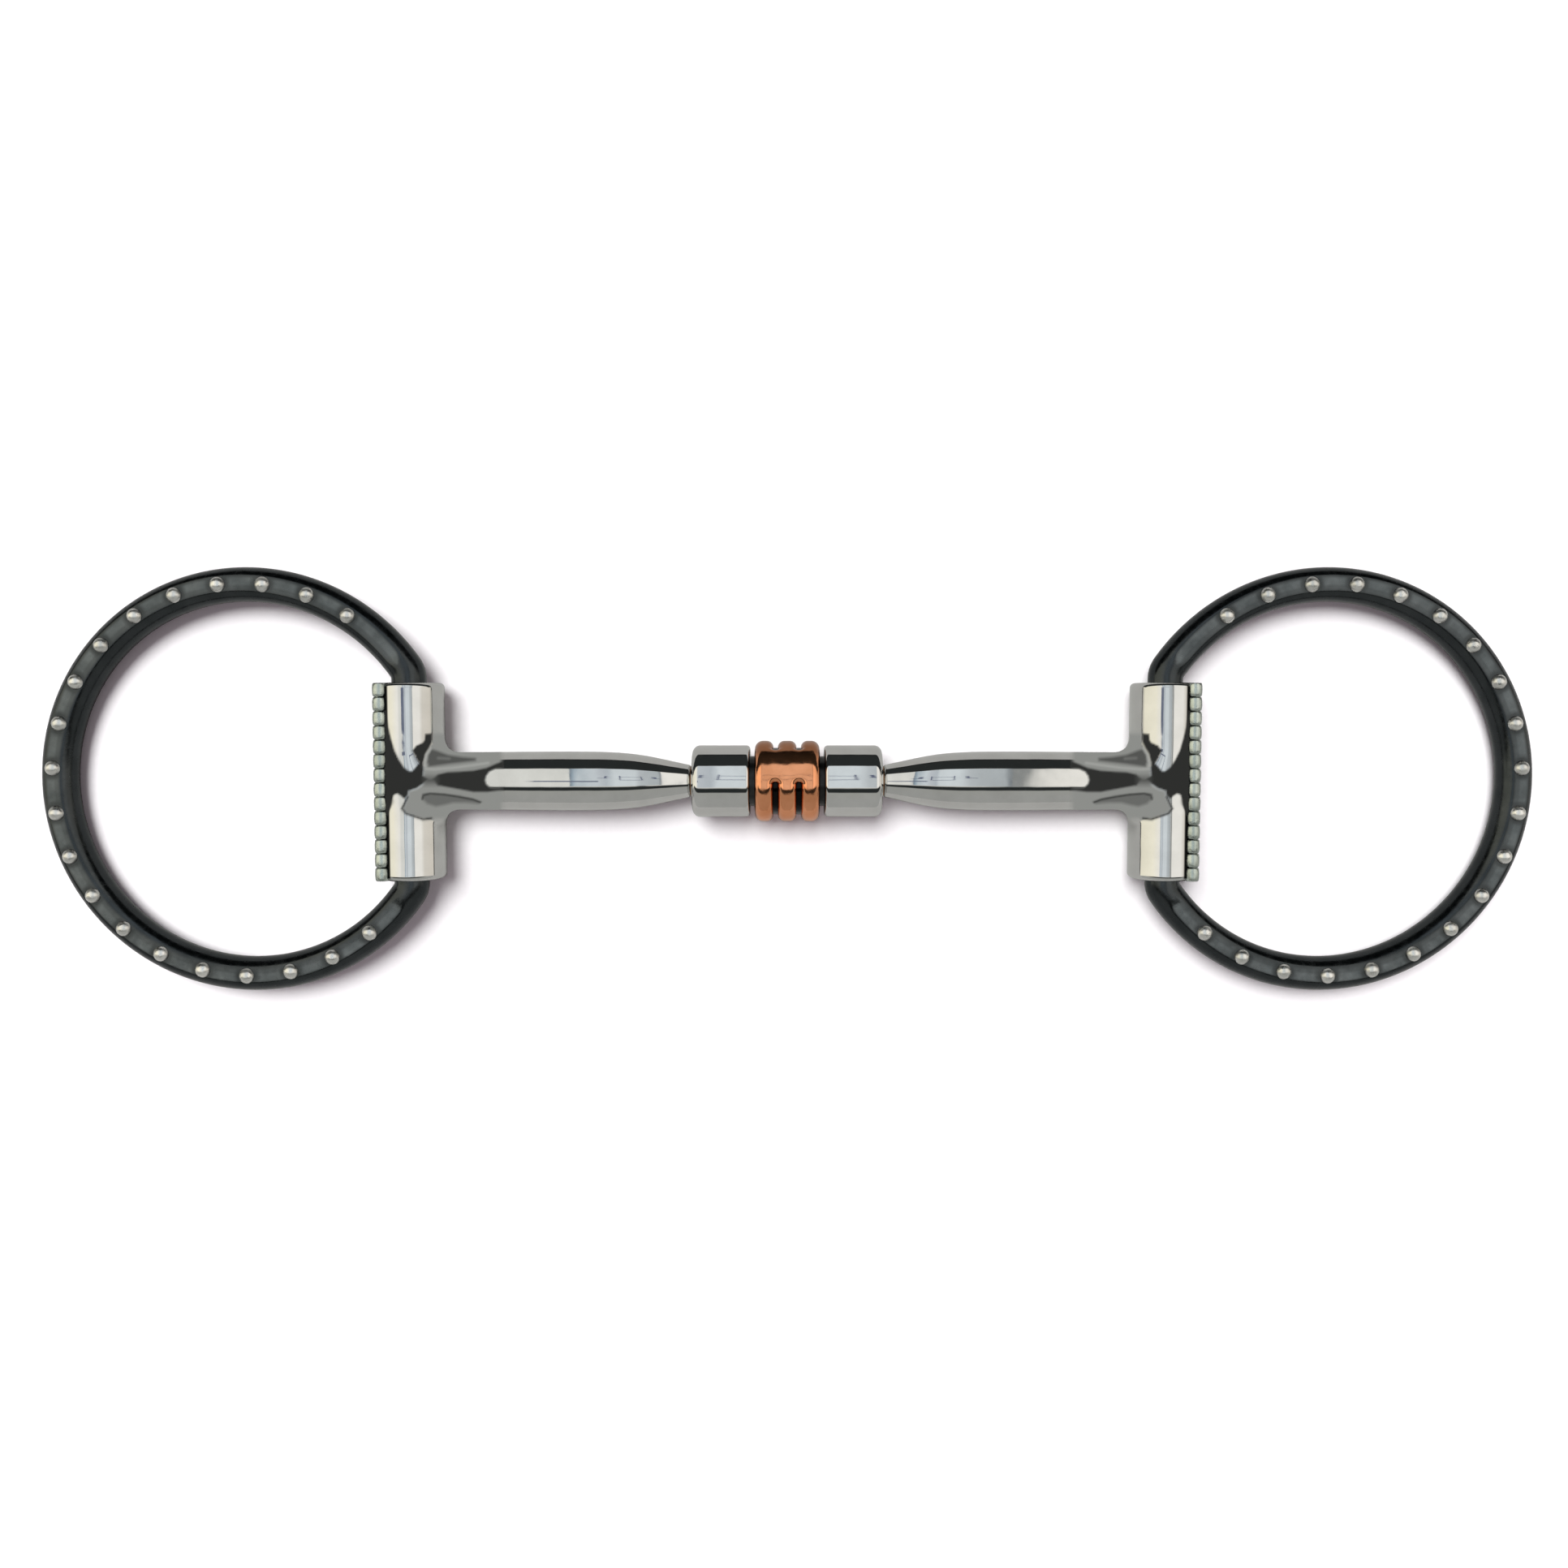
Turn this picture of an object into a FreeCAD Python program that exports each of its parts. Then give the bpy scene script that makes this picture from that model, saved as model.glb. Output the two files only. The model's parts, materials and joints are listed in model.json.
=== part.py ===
import FreeCAD, Part
import math
import os

from FreeCAD import Vector

# Snaffle bit with studded dee-shaped cheek rings, two rigid mouth arms and a copper roller barrel.
# Lengths are millimetres.  The bit lies flat: X runs along the mouthpiece, Y along the cheek sleeves,
# Z is up, and the origin is on the resting plane under the middle of the roller.

# Whole bit
MOUTH_WIDTH = 127.0  # clear width between the two cheek sleeves
RUNNING_GAP = 0.06  # radial clearance of every turning fit
AXIAL_GAP = 0.08  # end float of each arm in the barrel

# Barrel: two caps pressed on a core tube
BARREL_LENGTH = 34.8
CAP_RADIUS = 6.6
CAP_LENGTH = 10.6
CAP_WALL = 3.2  # thickness of the cap's end wall
CAP_OUTER_EDGE = 1.3  # rounding of the edge next to the arm
CAP_INNER_EDGE = 0.6  # rounding of the edge next to the roller
TUBE_RADIUS = 4.6
TUBE_BORE_RADIUS = 3.75

# Copper roller: three ridges parted by two slots, which stop short of a land on the front
ROLLER_RADIUS = 7.45
ROLLER_EDGE = 1.5
RIDGE_WIDTH = 3.4
SLOT_WIDTH = 0.85
SLOT_DEPTH = 1.3
SLOT_EDGE = 0.9
SLOT_START = 2.0  # degrees from the top of the roller down its near side
SLOT_SWEEP = 296.0

# Headed spindle pin and thrust washer of each arm
PIN_RADIUS = 2.4
PIN_HEAD_LENGTH = 2.6
PIN_DEPTH_IN_ARM = 7.5
PIN_END_CHAMFER = 0.4
WASHER_THICKNESS = 0.3
WASHER_RADIUS = 2.75

# Mouth arm: (distance from its barrel end, diameter) down its length
ARM_PROFILE = (
    (0.0, 5.9),
    (2.8, 7.1),
    (6.0, 8.5),
    (10.0, 9.9),
    (15.0, 10.7),
    (20.0, 10.9),
    (26.0, 10.9),
    (32.0, 10.8),
    (38.0, 10.7),
    (44.0, 10.6),
)
ARM_ROOT_FILLET = 1.9  # polished weld between the arm and the sleeve

# Cheek sleeve and its beaded trim
SLEEVE_RADIUS = 6.35
SLEEVE_LENGTH = 36.2
SLEEVE_EDGE = 0.9
SLEEVE_BORE_CHAMFER = 0.35
BEAD_COUNT = 14
BEAD_RADIUS = 1.3
BEAD_GAP = 0.4  # between neighbouring round beads, where the core shows
BEAD_STAND_OFF = 0.15  # bead centres stand this far outside the sleeve's surface
BEAD_TURN = 52.0  # degrees from straight outward towards the front of the bit

# Cheek ring: a round wire bent to a wide arc, closed by a straight shank that turns in the sleeve
WIRE_RADIUS = 3.175
RING_RADIUS = 36.3  # of the wire's centreline
RING_OFFSET = 30.3  # from the shank to the centre of the arc
NECK_BEND_RADIUS = 3.8
FACET_WIDTH = 2.8  # flat on the front of the arc
FACET_END_ANGLE = 139.5  # degrees from straight outward

# Domed studs pressed into the front flat
STUD_COUNT = 20
STUD_PITCH = 13.3  # degrees along the arc
STUD_ROW_SHIFT = -3.0  # degrees by which the row sits nearer one end of the arc
STUD_HEAD_RADIUS = 1.45
STUD_HEAD_HEIGHT = 1.15
STUD_PIN_RADIUS = 0.75
STUD_PIN_LENGTH = 1.8

# Worked out from the dimensions above
BARREL_Z = ROLLER_RADIUS
SLEEVE_X = MOUTH_WIDTH / 2 + SLEEVE_RADIUS
SLEEVE_Z = SLEEVE_RADIUS
MOUTH_BOW = BARREL_Z - SLEEVE_Z  # the arms rise this much from the sleeves to the barrel
CAP_OUTER_X = BARREL_LENGTH / 2
CAP_INNER_X = CAP_OUTER_X - CAP_LENGTH
CAP_WALL_X = CAP_OUTER_X - CAP_WALL
WASHER_X = CAP_OUTER_X + AXIAL_GAP
ARM_START_X = WASHER_X + WASHER_THICKNESS
FACET_HEIGHT = math.sqrt(WIRE_RADIUS**2 - (FACET_WIDTH / 2) ** 2)
RING_REACH = RING_OFFSET + RING_RADIUS
RING_DROOP = math.degrees(math.asin((SLEEVE_Z - WIRE_RADIUS) / RING_REACH))

ALONG_X = Vector(1, 0, 0)
ALONG_Y = Vector(0, 1, 0)
ALONG_Z = Vector(0, 0, 1)
SLEEVE_CENTRE = Vector(SLEEVE_X, 0, SLEEVE_Z)
ARC_CENTRE = Vector(SLEEVE_X + RING_OFFSET, 0, SLEEVE_Z)


def barrel_cylinder(radius, start_x, end_x):
    """A cylinder on the barrel's axis."""
    return Part.makeCylinder(radius, end_x - start_x, Vector(start_x, 0, BARREL_Z), ALONG_X)


def sleeve_cylinder(radius, length):
    """A cylinder on the sleeve's axis, centred on the mouthpiece."""
    start = SLEEVE_CENTRE - ALONG_Y * (length / 2)
    return Part.makeCylinder(radius, length, start, ALONG_Y)


def edges_at_x(shape, x):
    """The edges that lie in the plane at x."""
    return [e for e in shape.Edges if abs(e.BoundBox.XMin - x) < 1e-4 and e.BoundBox.XLength < 1e-4]


def edges_at_end(shape, y, radius):
    """The round edges of a given radius that lie in the plane at y or at minus y."""
    found = []
    for edge in shape.Edges:
        box = edge.BoundBox
        if box.YLength < 1e-4 and abs(abs(box.YMin) - y) < 1e-4 and abs(box.ZLength / 2 - radius) < 1e-3:
            found.append(edge)
    return found


def roller_slot(x):
    """The cutter for one slot: a ring segment with round ends, open outward."""
    reach = ROLLER_RADIUS + 1
    axis_point = Vector(x, 0, BARREL_Z)
    half = ALONG_X * (SLOT_WIDTH / 2)
    corners = [axis_point - half, axis_point + half]
    corners += [corner + ALONG_Z * reach for corner in reversed(corners)]
    face = Part.Face(Part.makePolygon(corners + corners[:1]))
    cutter = face.revolve(axis_point, ALONG_X, SLOT_SWEEP)
    for turn in (0, SLOT_SWEEP):
        end = Part.makeCylinder(SLOT_WIDTH / 2, reach, axis_point, ALONG_Z)
        end.rotate(axis_point, ALONG_X, turn)
        cutter = cutter.fuse(end)
    cutter.rotate(axis_point, ALONG_X, SLOT_START)
    floor_radius = ROLLER_RADIUS - SLOT_DEPTH
    return cutter.cut(barrel_cylinder(floor_radius, x - SLOT_WIDTH, x + SLOT_WIDTH))


def slot_rims(roller):
    """The edges where the slots open on the outside of the roller."""
    rims = []
    for edge in roller.Edges:
        away = edge.valueAt((edge.FirstParameter + edge.LastParameter) / 2) - Vector(0, 0, BARREL_Z)
        if abs(math.hypot(away.y, away.z) - ROLLER_RADIUS) < 1e-3 and edge.BoundBox.XMax - edge.BoundBox.XMin < 1:
            rims.append(edge)
    return rims


def copper_roller():
    """A drum that turns on the core tube, with slots parting three ridges with round shoulders."""
    pitch = RIDGE_WIDTH + SLOT_WIDTH
    half_width = (3 * pitch - SLOT_WIDTH) / 2
    drum = barrel_cylinder(ROLLER_RADIUS, -half_width, half_width)
    drum = drum.makeFillet(ROLLER_EDGE, edges_at_x(drum, -half_width) + edges_at_x(drum, half_width))
    drum = drum.cut(roller_slot(-pitch / 2)).cut(roller_slot(pitch / 2))
    drum = drum.makeFillet(SLOT_EDGE, slot_rims(drum))
    return drum.cut(barrel_cylinder(TUBE_RADIUS + RUNNING_GAP, -half_width, half_width))


def barrel_core_tube():
    """The tube that joins both caps, carries the roller and encloses the heads of the spindle pins."""
    outside = barrel_cylinder(TUBE_RADIUS, -CAP_WALL_X, CAP_WALL_X)
    return outside.cut(barrel_cylinder(TUBE_BORE_RADIUS, -CAP_WALL_X, CAP_WALL_X))


def barrel_cap():
    """A cup pressed on the core tube, with a hole in its end wall for the spindle pin."""
    cap = barrel_cylinder(CAP_RADIUS, CAP_INNER_X, CAP_OUTER_X)
    cap = cap.makeFillet(CAP_OUTER_EDGE, edges_at_x(cap, CAP_OUTER_X))
    cap = cap.makeFillet(CAP_INNER_EDGE, edges_at_x(cap, CAP_INNER_X))
    cap = cap.cut(barrel_cylinder(TUBE_RADIUS, CAP_INNER_X, CAP_WALL_X))
    return cap.cut(barrel_cylinder(PIN_RADIUS + RUNNING_GAP, CAP_WALL_X, CAP_OUTER_X))


def spindle_pin():
    """A pin fixed in the arm, whose head turns inside the barrel and holds the arm on."""
    head_end_x = CAP_WALL_X - AXIAL_GAP
    head = barrel_cylinder(TUBE_BORE_RADIUS - RUNNING_GAP, head_end_x - PIN_HEAD_LENGTH, head_end_x)
    head = head.makeChamfer(PIN_END_CHAMFER, edges_at_x(head, head_end_x - PIN_HEAD_LENGTH))
    shank_end_x = ARM_START_X + PIN_DEPTH_IN_ARM
    shank = barrel_cylinder(PIN_RADIUS, head_end_x, shank_end_x)
    shank = shank.makeChamfer(PIN_END_CHAMFER, edges_at_x(shank, shank_end_x))
    return head.fuse(shank).removeSplitter()


def thrust_washer():
    """A thin washer on the spindle pin, between the arm and the barrel cap."""
    disc = barrel_cylinder(WASHER_RADIUS, WASHER_X, ARM_START_X)
    return disc.cut(barrel_cylinder(PIN_RADIUS + RUNNING_GAP, WASHER_X, ARM_START_X))


def arm_section(distance, diameter):
    """A round section of the arm, square to its gently falling centreline."""
    share = distance / (SLEEVE_X - ARM_START_X)
    fall = math.atan(2 * MOUTH_BOW * share / (SLEEVE_X - ARM_START_X))
    centre = Vector(ARM_START_X + distance, 0, BARREL_Z - MOUTH_BOW * share**2)
    direction = Vector(math.cos(fall), 0, -math.sin(fall))
    return Part.Wire(Part.Circle(centre, direction, diameter / 2).toShape())


def mouth_arm():
    """A rigid arm that swells from the barrel and flares into the sleeve it is welded to."""
    root = (SLEEVE_X - ARM_START_X, ARM_PROFILE[-1][1])
    sections = [arm_section(distance, diameter) for distance, diameter in (*ARM_PROFILE, root)]
    arm = Part.makeLoft(sections, True, False)
    sleeve = sleeve_cylinder(SLEEVE_RADIUS, SLEEVE_LENGTH)
    joined = arm.fuse(sleeve)
    weld = [e for e in joined.Edges if on_weld(e)]
    joined = joined.makeFillet(ARM_ROOT_FILLET, weld)
    arm = joined.cut(sleeve)
    return arm.cut(barrel_cylinder(PIN_RADIUS, ARM_START_X, ARM_START_X + PIN_DEPTH_IN_ARM))


def on_weld(edge):
    """Whether an edge is where the arm's surface meets the sleeve's."""
    middle = edge.valueAt((edge.FirstParameter + edge.LastParameter) / 2)
    from_axis = math.hypot(middle.x - SLEEVE_X, middle.z - SLEEVE_Z)
    return abs(from_axis - SLEEVE_RADIUS) < 1e-3 and abs(middle.y) < SLEEVE_LENGTH / 4


def cheek_sleeve():
    """The tube in which the cheek ring's shank turns."""
    sleeve = sleeve_cylinder(SLEEVE_RADIUS, SLEEVE_LENGTH)
    sleeve = sleeve.makeFillet(SLEEVE_EDGE, edges_at_end(sleeve, SLEEVE_LENGTH / 2, SLEEVE_RADIUS))
    bore_radius = WIRE_RADIUS + RUNNING_GAP
    sleeve = sleeve.cut(sleeve_cylinder(bore_radius, SLEEVE_LENGTH))
    return sleeve.makeChamfer(SLEEVE_BORE_CHAMFER, edges_at_end(sleeve, SLEEVE_LENGTH / 2, bore_radius))


def bead_trim():
    """A beaded wire along the outer side of the sleeve, turned from a single rod."""
    from_axis = SLEEVE_RADIUS + BEAD_STAND_OFF
    turn = math.radians(BEAD_TURN)
    middle = SLEEVE_CENTRE + Vector(math.cos(turn), 0, math.sin(turn)) * from_axis
    pitch = SLEEVE_LENGTH / BEAD_COUNT
    start_y = -pitch * (BEAD_COUNT - 1) / 2
    half_bead = ALONG_Y * ((pitch - BEAD_GAP) / 2)
    core = ALONG_X * math.sqrt(BEAD_RADIUS**2 - half_bead.Length**2)
    crown = ALONG_X * BEAD_RADIUS
    half_trim = ALONG_Y * ((pitch * BEAD_COUNT - BEAD_GAP) / 2)
    outline = [Part.makeLine(middle - half_trim, middle - half_trim + core)]
    for i in range(BEAD_COUNT):
        centre = middle + ALONG_Y * (start_y + pitch * i)
        outline.append(Part.Arc(centre - half_bead + core, centre + crown, centre + half_bead + core).toShape())
        if i < BEAD_COUNT - 1:
            gap_end = centre + half_bead + ALONG_Y * BEAD_GAP
            outline.append(Part.makeLine(centre + half_bead + core, gap_end + core))
    outline.append(Part.makeLine(middle + half_trim + core, middle + half_trim))
    outline.append(Part.makeLine(middle + half_trim, middle - half_trim))
    trim = Part.Face(Part.Wire(outline)).revolve(middle, ALONG_Y, 360)
    return trim.cut(sleeve_cylinder(SLEEVE_RADIUS, SLEEVE_LENGTH * 2))


def on_arc(angle, radius=RING_RADIUS, height=0.0):
    """A point of the ring's flat plane, at an angle in degrees from straight outward."""
    turn = math.radians(angle)
    return ARC_CENTRE + Vector(radius * math.cos(turn), radius * math.sin(turn), height)


def bent_wire(centre, bend_radius, start_angle, sweep):
    """A round wire bent about a centre, from one angle through a sweep, both in degrees."""
    turn = math.radians(start_angle)
    start = centre + Vector(math.cos(turn), math.sin(turn), 0) * bend_radius
    direction = Vector(-math.sin(turn), math.cos(turn), 0)
    disc = Part.Face(Part.Wire(Part.Circle(start, direction, WIRE_RADIUS).toShape()))
    return disc.revolve(centre, ALONG_Z, sweep)


def ring_wire():
    """Shank, two neck bends and the wide arc, each tangent to the next."""
    neck_y = math.sqrt((RING_RADIUS - NECK_BEND_RADIUS) ** 2 - (RING_OFFSET - NECK_BEND_RADIUS) ** 2)
    neck_x = SLEEVE_X + NECK_BEND_RADIUS
    neck_angle = math.degrees(math.atan2(neck_y, NECK_BEND_RADIUS - RING_OFFSET))
    shank = sleeve_cylinder(WIRE_RADIUS, 2 * neck_y)
    upper = bent_wire(Vector(neck_x, neck_y, SLEEVE_Z), NECK_BEND_RADIUS, neck_angle, 180 - neck_angle)
    lower = bent_wire(Vector(neck_x, -neck_y, SLEEVE_Z), NECK_BEND_RADIUS, 180, 180 - neck_angle)
    arc = bent_wire(ARC_CENTRE, RING_RADIUS, -neck_angle, 2 * neck_angle)
    return shank.multiFuse([upper, arc, lower]).removeSplitter()


def facet_cutter():
    """What the flat on the front of the arc takes away, with round ends."""
    half_width = FACET_WIDTH / 2 + 0.3
    depth = 2 * (WIRE_RADIUS - FACET_HEIGHT)
    corner = on_arc(-FACET_END_ANGLE, RING_RADIUS, FACET_HEIGHT)
    outward = on_arc(-FACET_END_ANGLE, 1.0) - ARC_CENTRE
    points = (
        corner - outward * half_width,
        corner + outward * half_width,
        corner + outward * half_width + ALONG_Z * depth,
        corner - outward * half_width + ALONG_Z * depth,
    )
    band = Part.Face(Part.makePolygon([*points, points[0]])).revolve(ARC_CENTRE, ALONG_Z, 2 * FACET_END_ANGLE)
    ends = [
        Part.makeCylinder(half_width, depth, on_arc(angle, RING_RADIUS, FACET_HEIGHT), ALONG_Z)
        for angle in (-FACET_END_ANGLE, FACET_END_ANGLE)
    ]
    return band.multiFuse(ends)


def stud_angles():
    """The studs' places on the arc, in degrees from straight outward."""
    return [(i - (STUD_COUNT - 1) / 2) * STUD_PITCH + STUD_ROW_SHIFT for i in range(STUD_COUNT)]


def stud_pin(angle):
    """The space a stud's pin takes in the ring."""
    foot = on_arc(angle, RING_RADIUS, FACET_HEIGHT - STUD_PIN_LENGTH)
    return Part.makeCylinder(STUD_PIN_RADIUS, STUD_PIN_LENGTH, foot, ALONG_Z)


def stud(angle):
    """A domed head on a short pin."""
    sphere_radius = (STUD_HEAD_RADIUS**2 + STUD_HEAD_HEIGHT**2) / (2 * STUD_HEAD_HEIGHT)
    seat = on_arc(angle, RING_RADIUS, FACET_HEIGHT)
    dome = Part.makeSphere(sphere_radius, seat + ALONG_Z * (STUD_HEAD_HEIGHT - sphere_radius))
    above_seat = Part.makeCylinder(2 * STUD_HEAD_RADIUS, 2 * STUD_HEAD_HEIGHT, seat, ALONG_Z)
    return dome.common(above_seat).fuse(stud_pin(angle))


def at_rest(shape):
    """A ring's piece, turned in the sleeve until the ring's outer edge lies on the resting plane."""
    return shape.rotate(SLEEVE_CENTRE, ALONG_Y, RING_DROOP)


def cheek_ring():
    """The ring with its front flat and the stud holes."""
    ring = ring_wire().cut(facet_cutter())
    return at_rest(ring.cut([stud_pin(angle) for angle in stud_angles()]))


def ring_studs():
    """All studs of one ring, each a solid of its own."""
    return at_rest(Part.makeCompound([stud(angle) for angle in stud_angles()]))


def one_solid(shape):
    """The single solid a shape is made of."""
    if len(shape.Solids) != 1:
        raise ValueError(f"expected one solid, found {len(shape.Solids)}")
    return shape.Solids[0]


def save(name, shape):
    """Checks a node's shape and writes its STEP file."""
    if not shape.isValid():
        raise ValueError(f"{name} is not a valid shape")
    shape.exportStep(f"parts/{name}.step")


def main():
    os.makedirs("parts", exist_ok=True)
    save("copper_roller", one_solid(copper_roller()))
    save("barrel_core_tube", one_solid(barrel_core_tube()))
    right_side = {
        "barrel_cap": one_solid(barrel_cap()),
        "spindle_pin": one_solid(spindle_pin()),
        "thrust_washer": one_solid(thrust_washer()),
        "mouth_arm": one_solid(mouth_arm()),
        "cheek_sleeve": one_solid(cheek_sleeve()),
        "bead_trim": one_solid(bead_trim()),
        "cheek_ring": one_solid(cheek_ring()),
        "ring_studs": ring_studs(),
    }
    for name, shape in right_side.items():
        save(f"right_{name}", shape)
        save(f"left_{name}", shape.mirror(Vector(0, 0, 0), ALONG_X))


main()
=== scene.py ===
import json
import math

import bmesh
import bpy
import numpy as np
from mathutils import Matrix, Vector

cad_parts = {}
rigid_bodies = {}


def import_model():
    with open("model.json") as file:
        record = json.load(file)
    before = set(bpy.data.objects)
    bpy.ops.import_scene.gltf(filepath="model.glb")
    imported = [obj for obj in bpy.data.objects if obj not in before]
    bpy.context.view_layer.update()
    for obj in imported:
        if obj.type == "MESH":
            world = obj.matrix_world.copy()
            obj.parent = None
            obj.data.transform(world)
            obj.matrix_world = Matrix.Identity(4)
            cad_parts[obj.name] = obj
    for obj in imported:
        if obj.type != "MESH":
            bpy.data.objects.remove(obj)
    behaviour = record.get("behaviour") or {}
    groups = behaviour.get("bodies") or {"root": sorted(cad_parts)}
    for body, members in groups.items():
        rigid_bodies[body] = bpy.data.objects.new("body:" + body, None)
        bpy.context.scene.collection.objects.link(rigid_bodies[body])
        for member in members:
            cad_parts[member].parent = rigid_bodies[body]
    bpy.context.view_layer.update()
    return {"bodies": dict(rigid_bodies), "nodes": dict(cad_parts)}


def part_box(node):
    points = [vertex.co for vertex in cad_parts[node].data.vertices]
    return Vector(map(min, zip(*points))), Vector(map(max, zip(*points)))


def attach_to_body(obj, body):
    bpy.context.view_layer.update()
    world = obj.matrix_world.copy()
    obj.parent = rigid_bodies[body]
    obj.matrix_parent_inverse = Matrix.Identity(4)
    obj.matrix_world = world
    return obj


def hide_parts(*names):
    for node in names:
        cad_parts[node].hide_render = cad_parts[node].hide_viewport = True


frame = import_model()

# A snaffle bit: polished steel arms and sleeves, a copper roller, and blue-black studded rings.
# Shapes below are worked out in millimetres and turned to metres when a mesh is made.
# Everything is built for the right half and mirrored for the left.

MM = 0.001
SIDES = ((1, "right"), (-1, "left"))

# Sizes that a node's box gives
ROLLER_LOW, ROLLER_HIGH = [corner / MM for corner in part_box("copper_roller")]
CAP_LOW, CAP_HIGH = [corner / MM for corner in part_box("right_barrel_cap")]
SLEEVE_LOW, SLEEVE_HIGH = [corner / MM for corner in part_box("right_cheek_sleeve")]
ARM_LOW, ARM_HIGH = [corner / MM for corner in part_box("right_mouth_arm")]

BARREL_Z = (ROLLER_LOW.z + ROLLER_HIGH.z) / 2
SLEEVE_X = (SLEEVE_LOW.x + SLEEVE_HIGH.x) / 2
SLEEVE_Z = (SLEEVE_LOW.z + SLEEVE_HIGH.z) / 2
SLEEVE_RADIUS = (SLEEVE_HIGH.x - SLEEVE_LOW.x) / 2
SLEEVE_HALF = SLEEVE_HIGH.y
CAP_RADIUS = CAP_HIGH.y
ROLLER_RADIUS = ROLLER_HIGH.y
ARM_START = ARM_LOW.x

# Mouth arm: distances from its barrel end and the diameters there, as in the CAD
ARM_STATIONS = (0.0, 2.8, 6.0, 10.0, 15.0, 20.0, 26.0, 32.0, 38.0, 44.0, 60.0)
ARM_DIAMETERS = (5.9, 7.1, 8.5, 9.9, 10.7, 10.9, 10.9, 10.8, 10.7, 10.6, 10.6)
ARM_EDGE = 0.35
ARM_PAST_AXIS = 1.0  # how far the arm's end reaches beyond the sleeve's axis
ARM_BLEND = 3.2
SKIN_VOXEL = 0.24

SLEEVE_EDGE = 0.9
SLEEVE_SIDE_END = SLEEVE_HALF - SLEEVE_EDGE - 0.02  # where the straight side meets the turned end
SEAM_X = SLEEVE_X - SLEEVE_RADIUS - 1.2  # where the arm's piece ends and the sleeve's begins
BORE_RADIUS = 3.235

# Roller, with the angles of its slots measured from the top down the near side
ROLLER_EDGE = 1.5
ROLLER_BORE = 4.66
SLOT_PLACE = 2.125
SLOT_WIDTH = 0.8
SLOT_DEPTH = 1.3
SLOT_EDGE = 1.25
SLOT_START = 2.0
SLOT_SWEEP = 296.0

# Cheek ring
WIRE_RADIUS = 3.175
RING_RADIUS = 36.3
RING_OFFSET = 30.3
NECK_BEND = 3.8
FACET_HEIGHT = math.sqrt(WIRE_RADIUS**2 - 1.4**2)
FACET_END = 139.5
FACET_FADE = 4.0
FACET_EDGE = 0.12
BESIDE_SLEEVE = 9.0  # stands for a place so far past the flat's end that the wire is whole
STUD_COUNT = 20
STUD_PITCH = 13.3
STUD_SHIFT = -3.0
STUD_RADIUS = 1.45
STUD_HEIGHT = 1.15
# At rest the ring is turned about the sleeve until its outer edge touches the table
RING_DROOP = math.asin((SLEEVE_Z - WIRE_RADIUS) / (RING_OFFSET + RING_RADIUS))

# Bead trim
BEAD_COUNT = 14
BEAD_RADIUS = 1.3
BEAD_WAIST = 0.86
BEAD_GAP = 0.12
BEAD_TURN = math.radians(52.0)
BEAD_AWAY = SLEEVE_RADIUS + 0.15  # from the sleeve's axis to the row's axis
BEAD_X = SLEEVE_X + math.cos(BEAD_TURN) * BEAD_AWAY
BEAD_Z = SLEEVE_Z + math.sin(BEAD_TURN) * BEAD_AWAY

# Camera, with its distance taken from the sleeves' own height
CAMERA_DISTANCE = 250.0
CAMERA_TILT = math.radians(3.36)
CAMERA_LENS = 30.93
CAMERA_SHIFT = (-0.0020, -0.0021)

# The near-black that masks mix metals towards: painted shade and painted shadow, and darker patches on the
# roller and ring
DARKENING = (0.010, 0.010, 0.010)

# Key light
KEY_DIRECTION = (-0.24, 0.38, 1.0)
KEY_STRENGTH = 3.5
KEY_ANGLE = math.radians(34)

# Light panel that only mirrors see: its height over the sleeves, and where along the arms its ends show
PANEL_HEIGHT = 465.0
PANEL_LEFT = -45.2
PANEL_RIGHT = 48.4
PANEL_SPAN = 120.0
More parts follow.
